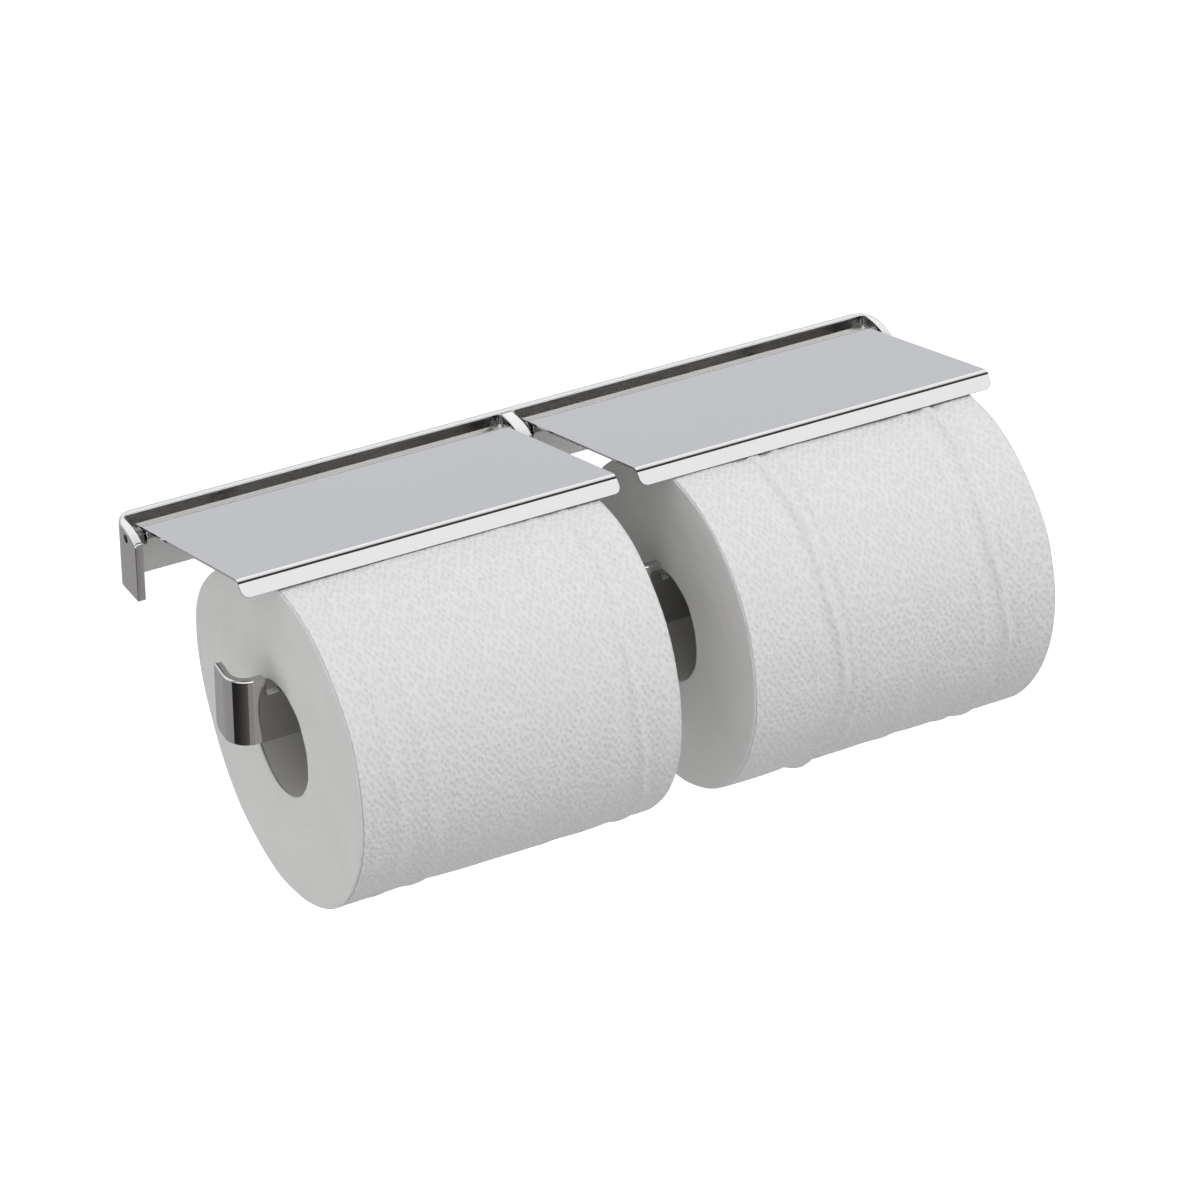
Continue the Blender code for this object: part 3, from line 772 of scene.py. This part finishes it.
def tissue(name):
    material, tree, shader = new_material(name)
    shader.inputs["Roughness"].default_value = 0.95
    shader.inputs["Specular IOR Level"].default_value = 0.15
    shader.inputs["Sheen Weight"].default_value = 0.1
    dots = node(tree, "ShaderNodeTexVoronoi", voronoi_dimensions="2D", feature="F1")
    dots.inputs["Scale"].default_value = 1 / DOT_PITCH
    dots.inputs["Randomness"].default_value = 0.6
    grid = mapped(tree, unrolled_place(tree), (DOT_STRETCH_SHARE, 1, 1), math.radians(45))
    tree.links.new(grid, dots.inputs["Vector"])
    rise = node(tree, "ShaderNodeMapRange", interpolation_type="SMOOTHSTEP")
    rise.inputs["From Max"].default_value = DOT_REACH
    tree.links.new(dots.outputs["Distance"], rise.inputs["Value"])
    height = node(tree, "ShaderNodeMath", operation="MULTIPLY_ADD")
    height.inputs[1].default_value = FIBRE_HEIGHT
    tree.links.new(noise_node(tree, own_place(tree), scale=900, roughness=0.55), height.inputs[0])
    tree.links.new(rise.outputs["Result"], height.inputs[2])
    bumped(tree, shader, height.outputs["Value"], strength=1.0, distance=0.00026)
    # The dots' pits are tinted a little darker than the sheet round them: painted shade in the hollows
    tinted(tree, shader, rise.outputs["Result"], (0.822, 0.822, 0.817), (0.88, 0.88, 0.88))
    return material


sheet_face = tissue("embossed_tissue")
print(sheet_face.name, "with dots every", DOT_PITCH)

# %% [markdown]
# ## Finish: the roll's end and the cardboard
#
# The end of a roll shows the cut edges of the wound sheets as very fine rings, so a noise is stretched
# until it hardly changes round the roll and changes quickly outward. The tube's card is grey and
# fibrous, which a fine noise gives as tint and as bump.

# %% Wound edges and cardboard
RING_STRETCH = (18, 3600, 1)
RING_CONTRAST = 2.4


def wound_end(name):
    material, tree, shader = new_material(name)
    shader.inputs["Roughness"].default_value = 1.0
    shader.inputs["Specular IOR Level"].default_value = 0.1
    stretched = mapped(tree, unrolled_place(tree), RING_STRETCH)
    rings = noise_node(tree, stretched, scale=1.0, roughness=0.6)
    bumped(tree, shader, rings, strength=0.3, distance=0.0002)
    both = node(tree, "ShaderNodeMath", operation="MULTIPLY")
    tree.links.new(rings, both.inputs[0])
    tree.links.new(noise_node(tree, own_place(tree), scale=35), both.inputs[1])
    patches = ranged(tree, both.outputs["Value"], 0.0, RING_CONTRAST)
    tinted(tree, shader, patches, (0.76, 0.755, 0.745), (0.84, 0.835, 0.825))
    return material


def cardboard(name):
    material, tree, shader = new_material(name)
    shader.inputs["Roughness"].default_value = 0.9
    shader.inputs["Specular IOR Level"].default_value = 0.2
    place = own_place(tree)
    fibres = noise_node(tree, place, scale=900, detail=5, roughness=0.65)
    tinted(tree, shader, fibres, (0.56, 0.55, 0.52), (0.70, 0.69, 0.66))
    grain = noise_node(tree, place, scale=1400, detail=4, roughness=0.6)
    bumped(tree, shader, grain, strength=0.25, distance=0.0001)
    return material


sheet_edges = wound_end("wound_tissue_edges")
card = cardboard("grey_cardboard")
print("made", sheet_edges.name, card.name)

# %% [markdown]
# ## The rolls
#
# A real roll isn't a perfect cylinder: it is a little out of round, its ends bulge and are not quite
# square, the innermost turns are pressed over the tube's end, and the sheet has creases round it.
# The surface is a fine grid over angle and width whose radius adds all of these up, so they are real
# shape. Only the dots are bump.

# %% Creases, flats and bulges
# Each crease: its path as (degrees round the roll, place across), its height and its width
CREASES = {
    "left": [
        ([(118, 0.0447), (141, 0.0425), (170, 0.0421), (190, 0.0452), (207, 0.0472)], 0.00085, 0.0014),
        ([(129, -0.0470), (145, -0.0466), (200, -0.0440)], 0.00045, 0.0016),
        ([(133, -0.0352), (161, -0.0348), (230, -0.0300)], 0.00042, 0.0022),
        ([(110, 0.0210), (150, 0.0235), (215, 0.0180)], 0.00025, 0.0020),
        ([(100, 0.0330), (150, 0.0345), (190, 0.0330)], 0.00025, 0.0012),
    ],
    "right": [
        (
            [(105, -0.0282), (129, -0.0275), (150, -0.0273), (166, -0.0261)]
            + [(184, -0.0242), (200, -0.0252), (215, -0.0282)],
            0.0016,
            0.0015,
        ),
        ([(100, -0.0200), (130, -0.0215), (160, -0.0205), (190, -0.0190)], 0.00055, 0.0011),
        (
            [(110, 0.0399), (126, 0.0377), (145, 0.0369), (166, 0.0382)]
            + [(185, 0.0407), (195, 0.0400), (207, 0.0370)],
            0.0016,
            0.0014,
        ),
        ([(105, 0.0310), (140, 0.0290), (180, 0.0315), (220, 0.0290)], 0.00055, 0.0012),
        ([(180, 0.0020), (230, 0.0060)], 0.00035, 0.0024),
    ],
}
FLATTENED = {"left": 0.0011, "right": 0.0010}
# Ends that stand out: how far, and in which direction from the axis
BULGES = {
    ("left", -1): (0.0046, math.radians(33)),
    ("right", -1): (0.0008, math.radians(60)),
    ("right", 1): (0.0013, math.radians(165)),
    ("left", 1): (0.0004, math.radians(120)),
}
print("creases:", {side: len(rows) for side, rows in CREASES.items()})

# %% How high a crease stands
CREASE_FADE = 28
CREASE_DRIFT = 0.0012
UNEVENNESS = 0.5
# Hollows beside a crease: depth, place and width as shares of the crease's own
HOLLOWS = ((0.55, 2.3, 1.5), (0.25, -3, 2))


def swell(distance, width):
    return math.exp(-((distance / width) ** 2))


def apart(angle, other):
    """How far two directions are apart, in radians."""
    return abs((angle - other + math.pi) % (2 * math.pi) - math.pi)


def ring_noise(angle, spread, level):
    """Noise that closes on itself round the roll; spread sets how quickly it changes."""
    return noise.noise(Vector((spread * math.cos(angle), spread * math.sin(angle), level)))


def crease_place(path, degrees):
    """Where a crease lies across the roll, and how strong it is there."""
    first, last = path[0][0], path[-1][0]
    beyond = max(0.0, first - degrees, degrees - last)
    place = path[0][1] if degrees < first else path[-1][1]
    for (start, low), (end, high) in zip(path, path[1:]):
        if start <= degrees <= end:
            share = (degrees - start) / (end - start)
            place = low + (high - low) * share * share * (3 - 2 * share)
    return place, swell(beyond, CREASE_FADE)


def crease_height(side, across, angle):
    """All creases of a roll at one place: each a ridge with a hollow on both sides."""
    total = 0.0
    for index, (path, height, width) in enumerate(CREASES[side]):
        place, strength = crease_place(path, math.degrees(angle))
        offset = across - place - CREASE_DRIFT * ring_noise(angle, 1.9, 7.0 * index + 1)
        uneven = 1 + UNEVENNESS * ring_noise(angle, 3.0, 5.0 * index)
        hollow = sum(deep * swell(offset - aside * width, wide * width) for deep, aside, wide in HOLLOWS)
        total += height * strength * uneven * (swell(offset, width) - hollow)
    return total


# %% The shape of the paper
TOP, BOTTOM = math.radians(90), math.radians(270)
# Lumps of two sizes: how high, and how close together
LUMPS = ((0.0004, 1.3), (0.00025, 4.0))
LUMPS_ACROSS = 18
RIPPLE = 0.00012
END_WAVES = 0.0004
BULGE_SPREAD = 0.7
ROLL_SEED = {"left": 0, "right": 5}
PAPER_INSET = 0.0002
PROUD = 0.0014
PROUD_UNDER_LID = 0.0001
LID_SPREAD = 0.25
FLAT_SPREAD = 0.75


def paper_change(side, across, angle):
    """The lumps and creases at a place, kept low where the lid lies on the roll."""
    around = Vector((math.cos(angle), math.sin(angle), across * LUMPS_ACROSS + ROLL_SEED[side]))
    change = sum(height * noise.noise(around * closeness) for height, closeness in LUMPS)
    change += RIPPLE * ring_noise(angle, 6, across * 120)
    change += crease_height(side, across, angle)
    change -= FLATTENED[side] * swell(apart(angle, BOTTOM), FLAT_SPREAD)
    limit = PROUD - (PROUD - PROUD_UNDER_LID) * swell(apart(angle, TOP), LID_SPREAD)
    return min(change - PAPER_INSET, limit)


def end_push(side, across, reach, share, angle):
    """How far the end of the roll stands out at a place."""
    sign = -1 if across < 0 else 1
    height, direction = BULGES[side, sign]
    bulge = sign * height * share * swell(apart(angle, direction), BULGE_SPREAD)
    return END_WAVES * ring_noise(angle, 2.2, 9.0 + 300 * reach) + bulge


# %% The profile of a roll
WIDTH_STEPS = 240
RIM = 0.0007
RIM_STEPS = 4
END_STEPS = 26
TUBE_WALL = 0.0013
COLLAR_DEPTH = 0.0006
COLLAR_LAP = 0.0002
COLLAR_ROWS = 3


def roll_profile(half, bore, radius):
    """Across and outward: a collar over the tube's end, one end up to the rim, the face, and back."""
    start = bore - TUBE_WALL
    collar = start - COLLAR_LAP
    rise = [(half - COLLAR_DEPTH, bore, "end"), (half - COLLAR_DEPTH, collar, "end")]
    rise.append((half - COLLAR_LAP, collar, "end"))
    rise += [(half, start + (radius - RIM - start) * step / END_STEPS, "end") for step in range(END_STEPS)]
    for step in range(RIM_STEPS):
        turn = math.pi / 2 * step / RIM_STEPS
        rise.append((half - RIM * (1 - math.cos(turn)), radius - RIM + RIM * math.sin(turn), "rim"))
    face_half = half - RIM
    face = [(face_half * (2 * step / WIDTH_STEPS - 1), radius, "face") for step in range(WIDTH_STEPS + 1)]
    return [(-across, reach, kind) for across, reach, kind in rise] + face + rise[::-1]


# %% Carry a profile round the axis
def ring_mesh(name, profile, turns, shape):
    """Carry a profile round the axis; shape gives each of its points a place across and a radius."""
    rows = len(profile)
    vertices, faces = [], []
    for turn in range(turns):
        angle = 2 * math.pi * turn / turns
        after = (turn + 1) % turns
        for row, point in enumerate(profile):
            across, r = shape(angle, *point)
            vertices.append((across, r * math.cos(angle), r * math.sin(angle)))
            following = (row + 1) % rows
            corners = ((turn, row), (turn, following), (after, following), (after, row))
            faces.append([place * rows + index for place, index in corners])
    mesh = bpy.data.meshes.new(name)
    mesh.from_pydata(vertices, [], faces)
    return mesh


def face_outward(mesh):
    work = bmesh.new()
    work.from_mesh(mesh)
    bmesh.ops.recalc_face_normals(work, faces=work.faces)
    work.to_mesh(mesh)
    work.free()


# %% Unroll the sheet
ROUND_STEPS = 300
END_ROWS = COLLAR_ROWS + END_STEPS


def unroll(mesh, profile, radius):
    """Give each corner its place on the unrolled sheet, and each face its paper."""
    rows = len(profile)
    layer = mesh.uv_layers.new(name="unrolled")
    for polygon in mesh.polygons:
        turn, row = divmod(polygon.vertices[0], rows)
        polygon.material_index = 0 if END_ROWS + 1 <= row < rows - END_ROWS - 2 else 1
        for loop in polygon.loop_indices:
            place, index = divmod(mesh.loops[loop].vertex_index, rows)
            if turn == ROUND_STEPS - 1 and place == 0:
                place = ROUND_STEPS
            across, reach, kind = profile[index]
            along = 2 * math.pi * place / ROUND_STEPS * radius
            layer.data[loop].uv = (along, across if kind == "face" else reach)


# %% Build the paper
TUBE_GAP = 0.0003
END_REACH = 0.004


def build_paper(side):
    low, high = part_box(side + "_roll_paper")
    core_low, core_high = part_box(side + "_roll_core")
    radius = (high.z - low.z) / 2
    half = (high.x - low.x) / 2
    bore = (core_high.z - core_low.z) / 2 + TUBE_GAP

    def shape(angle, across, reach, kind):
        share = max(0.0, (reach - bore) / (radius - bore)) ** 3
        push = end_push(side, across, reach, share, angle) * swell(half - abs(across), END_REACH)
        return across + push, reach + paper_change(side, across, angle) * share

    profile = roll_profile(half, bore, radius)
    mesh = ring_mesh(side + "_tissue", profile, ROUND_STEPS, shape)
    unroll(mesh, profile, radius)
    mesh.materials.append(sheet_face)
    mesh.materials.append(sheet_edges)
    face_outward(mesh)
    mesh.shade_smooth()
    piece = add_object(side + "_tissue", mesh)
    piece.location = (low + high) / 2
    return piece


for side in SIDES:
    paper = build_paper(side)
    bpy.context.view_layer.update()
    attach(paper, side + "_roll")
    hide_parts(side + "_roll_paper")
    print(paper.name, len(paper.data.polygons), "faces")

# %% [markdown]
# ## The cardboard tubes
#
# The tube is a thin ring of card wound in a spiral. Its strip overlaps a little at each turn, so a
# low step runs along the bore as a spiral seam. It is the same kind of grid as the paper.

# %% Build the tubes
TUBE_SIDES = 120
TUBE_STEPS = 60
SEAM_PITCH = 0.09
SEAM_STEP = 0.00018
SEAM_HALF_SHARE = 0.035
SEAM_SOFT_SHARE = 0.008


def tube_shape(angle, across, reach, seam):
    """A point of the tube; seam is the height of the seam's step there."""
    turn_share = (angle / (2 * math.pi) + across / SEAM_PITCH) % 1.0
    inside = (SEAM_HALF_SHARE - abs(turn_share - 0.5)) / SEAM_SOFT_SHARE
    return across, reach + seam * min(1.0, max(0.0, inside))


def build_tube(side):
    low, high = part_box(side + "_roll_core")
    outer = (high.z - low.z) / 2
    inner = outer - TUBE_WALL
    half = (high.x - low.x) / 2
    bore_line = [half - 2 * half * step / TUBE_STEPS for step in range(TUBE_STEPS + 1)]
    profile = [(across, inner, SEAM_STEP) for across in bore_line] + [(-half, outer, 0), (half, outer, 0)]
    mesh = ring_mesh(side + "_tube", profile, TUBE_SIDES, tube_shape)
    face_outward(mesh)
    shade(mesh)
    piece = add_object(side + "_tube", mesh)
    piece.location = (low + high) / 2
    return piece


for side in SIDES:
    tube = build_tube(side)
    place_piece(tube, side + "_roll", card, side + "_roll_core", side + "_roll_core")

# %% [markdown]
# ## The studio
#
# Polished metal only looks like metal when there is something to reflect. A photographer hangs white
# panels above and in front, leaves a dark gap between them for the thin line along the lid's bend,
# and keeps the ground in front dark. The panels here are seen by reflections alone: they throw no
# shadow and give no light on the paper, which the lamps and the pale surroundings light softly. A
# panel can fade from one edge to the other, through a colour attribute.

# %% Panels for reflections
def empty_tree(owner):
    """A material's or a world's node tree, without the nodes that it starts with."""
    owner.use_nodes = True
    owner.node_tree.nodes.clear()
    return owner.node_tree


def panel(name, corners, near, far):
    """A four-cornered card that only gloss sees; near and far are its glow at the first and last edge."""
    mesh = bpy.data.meshes.new(name)
    mesh.from_pydata(corners, [], [(0, 1, 2, 3)])
    glow = mesh.color_attributes.new("glow", "FLOAT_COLOR", "POINT")
    for index, colour in enumerate((near, near, far, far)):
        glow.data[index].color = (*colour, 1)
    material = bpy.data.materials.new(name)
    tree = empty_tree(material)
    carrier = node(tree, "ShaderNodeAttribute", attribute_name="glow")
    light = node(tree, "ShaderNodeEmission")
    output = node(tree, "ShaderNodeOutputMaterial")
    tree.links.new(carrier.outputs["Color"], light.inputs["Color"])
    tree.links.new(light.outputs["Emission"], output.inputs["Surface"])
    mesh.materials.append(material)
    piece = add_object(name, mesh)
    piece.visible_camera = False
    piece.visible_diffuse = False
    piece.visible_shadow = False
    piece.visible_transmission = False
    print(name, "glows from", near, "to", far)


# %% Sheets above, behind and in front
STUDIO_LEFT, STUDIO_RIGHT = -3.0, 3.5
CEILING, GROUND = 1.2, -0.8
WARM = 1.03
COOL_DARK = 0.93
BACK_GLOW = (0.915, 0.94, 1.0)


def across_panel(name, start, end, near, far):
    """A card that spans the studio from left to right; start and end are its (y, z) edges."""
    corners = [(STUDIO_LEFT, *start), (STUDIO_RIGHT, *start), (STUDIO_RIGHT, *end), (STUDIO_LEFT, *end)]
    panel(name, corners, near, far)


def grey(level, blue_share=WARM):
    return (level, level * (1 + blue_share) / 2, level * blue_share)


BACK_Y, MIDDLE_Y, GAP_Y, FRONT_Y = 2.1, 0.67, 0.0, -0.71
BACK_FOOT_Y = 3.2
across_panel("back_sheet", (BACK_FOOT_Y, GROUND), (BACK_Y, CEILING), BACK_GLOW, BACK_GLOW)
across_panel("ceiling_back", (BACK_Y, CEILING), (MIDDLE_Y, CEILING), grey(1.82), grey(1.7))
across_panel("ceiling_front", (MIDDLE_Y, CEILING), (GAP_Y, CEILING), grey(1.7), grey(1.25))
across_panel(
    "ceiling_gap", (GAP_Y, CEILING), (FRONT_Y, CEILING), grey(0.12, COOL_DARK), grey(0.06, COOL_DARK)
)
# Edges of the front sheet from the ceiling down: y, z and glow
FRONT_SHEET = [
    (FRONT_Y, CEILING, 2.0),
    (-0.84, CEILING, 1.65),
    (-1.05, 1.0, 1.5),
    (-1.3, 0.8, 2.2),
    (-1.5, 0.62, 2.9),
    (-1.7, 0.4, 2.4),
    (-1.9, 0.0, 1.85),
]
for index, (start, end) in enumerate(zip(FRONT_SHEET, FRONT_SHEET[1:])):
    across_panel("front_sheet_" + str(index), start[:2], end[:2], grey(start[2]), grey(end[2]))

# %% Cards on the ground, seen in the upright faces
CARD_EDGE_X, CARD_EDGE_Y = -0.40, -0.09
CARD_MIDDLE_X = -1.29
FAR = 4.0
BEHIND_GLOW = (0.5, 0.49, 0.5)
DARK_GLOW = (0.035, 0.033, 0.032)


def ground_card(name, x, y, near, far):
    corners = [(x[0], y[0], GROUND), (x[0], y[1], GROUND), (x[1], y[1], GROUND), (x[1], y[0], GROUND)]
    panel(name, corners, near, far)


front_run = (-FAR, CARD_EDGE_Y)
ground_card("ground_behind", (-FAR, FAR), (CARD_EDGE_Y, FAR), BEHIND_GLOW, BEHIND_GLOW)
ground_card("ground_dark", (-FAR, CARD_MIDDLE_X), front_run, (0.04, 0.037, 0.036), DARK_GLOW)
ground_card("ground_dusk", (CARD_MIDDLE_X, CARD_EDGE_X), front_run, DARK_GLOW, (0.165, 0.153, 0.147))
ground_card("ground_front", (CARD_EDGE_X, FAR), front_run, (0.46, 0.43, 0.40), (0.47, 0.44, 0.41))

# %% [markdown]
# ## Floor, surroundings and lamps
#
# The background is plain white. The floor lies well below the dispenser, because it hangs on a wall.
# For the camera, for gloss and for what is seen through things, the surroundings are white, and the
# floor adds a glow to its own matt colour: it looks white too, but a shadow still shows on it. For
# everything else the surroundings are a soft even light.

# %% Switch between what is seen and what gives light
def background_switch(tree, seen, other):
    """What the camera, gloss or transmission sees; the other shader for all other light."""
    path = node(tree, "ShaderNodeLightPath")
    direct = path.outputs["Is Camera Ray"]
    for kind in ("Is Glossy Ray", "Is Transmission Ray"):
        either = node(tree, "ShaderNodeMath", operation="MAXIMUM")
        tree.links.new(direct, either.inputs[0])
        tree.links.new(path.outputs[kind], either.inputs[1])
        direct = either.outputs["Value"]
    mix = node(tree, "ShaderNodeMixShader")
    tree.links.new(direct, mix.inputs["Fac"])
    tree.links.new(other, mix.inputs[1])
    tree.links.new(seen, mix.inputs[2])
    return mix.outputs["Shader"]


# %% Floor
FLOOR_Z = -0.9
FLOOR_REACH = 6.0
FLOOR_GLOW = 0.75
FLOOR_COLOUR = (0.6, 0.6, 0.6, 1)
floor_signs = [(-1, -1), (1, -1), (1, 1), (-1, 1)]
floor_corners = [(x * FLOOR_REACH, y * FLOOR_REACH, FLOOR_Z) for x, y in floor_signs]
floor_mesh = bpy.data.meshes.new("floor")
floor_mesh.from_pydata(floor_corners, [], [(0, 1, 2, 3)])
floor = add_object("floor", floor_mesh)
floor_material = bpy.data.materials.new("pale_floor")
floor_tree = empty_tree(floor_material)
glow = node(floor_tree, "ShaderNodeEmission")
glow.inputs["Strength"].default_value = FLOOR_GLOW
matt = node(floor_tree, "ShaderNodeBsdfDiffuse")
matt.inputs["Color"].default_value = FLOOR_COLOUR
seen = node(floor_tree, "ShaderNodeAddShader")
floor_tree.links.new(glow.outputs["Emission"], seen.inputs[0])
floor_tree.links.new(matt.outputs["BSDF"], seen.inputs[1])
floor_switch = background_switch(floor_tree, seen.outputs["Shader"], matt.outputs["BSDF"])
floor_out = node(floor_tree, "ShaderNodeOutputMaterial")
floor_tree.links.new(floor_switch, floor_out.inputs["Surface"])
floor_mesh.materials.append(floor_material)
print("floor at", FLOOR_Z)

# %% World
AMBIENT = 0.61
world = bpy.data.worlds.new("studio")
bpy.context.scene.world = world
world_tree = empty_tree(world)
backgrounds = {}
for name, strength in (("white", 1.0), ("soft", AMBIENT)):
    background = node(world_tree, "ShaderNodeBackground", name=name)
    background.inputs["Strength"].default_value = strength
    background.inputs["Color"].default_value = (1, 1, 1, 1)
    backgrounds[name] = background.outputs["Background"]
world_out = node(world_tree, "ShaderNodeOutputWorld")
world_switch = background_switch(world_tree, backgrounds["white"], backgrounds["soft"])
world_tree.links.new(world_switch, world_out.inputs["Surface"])
print("ambient light", AMBIENT)

# %% Lamps
LAMP_TARGET = (0, -0.06, -0.02)


def lamp(name, place, size, watts):
    data = bpy.data.lights.new(name, "AREA")
    data.shape = "RECTANGLE"
    data.size, data.size_y = size
    data.energy = watts
    light = add_object(name, data)
    light.location = place
    light.rotation_euler = (Vector(LAMP_TARGET) - Vector(place)).to_track_quat("-Z", "Y").to_euler()
    light.visible_glossy = False
    print(name, watts, "W")


lamp("key_lamp", (0.4, -1.0, 1.8), (1.2, 1.0), 13)
lamp("back_lamp", (0.3, 1.4, -0.5), (1.2, 0.8), 10)
lamp("left_lamp", (-1.6, 0.7, 0.1), (0.8, 0.8), 3.5)

# %% [markdown]
# ## The camera
#
# A long lens, about 1.7 m away, to the left of the dispenser and above it. The lines of the rail,
# the lids and the rolls in the photograph fix its place and its angles.

# %% Camera
YAW, PITCH = 0.506854, 0.554175
camera_data = bpy.data.cameras.new("camera")
camera_data.lens = 147.944
camera_data.sensor_width = 36
camera_data.clip_end = 20
camera = add_object("camera", camera_data)
camera.location = (-0.694138, -1.320244, 0.856493)
camera.rotation_euler = (math.pi / 2 - PITCH, 0, -YAW)
bpy.context.scene.camera = camera
bpy.context.scene.view_settings.view_transform = "Standard"
print("camera", [round(value, 3) for value in camera.location])

# %% Update the view layer
bpy.context.view_layer.update()
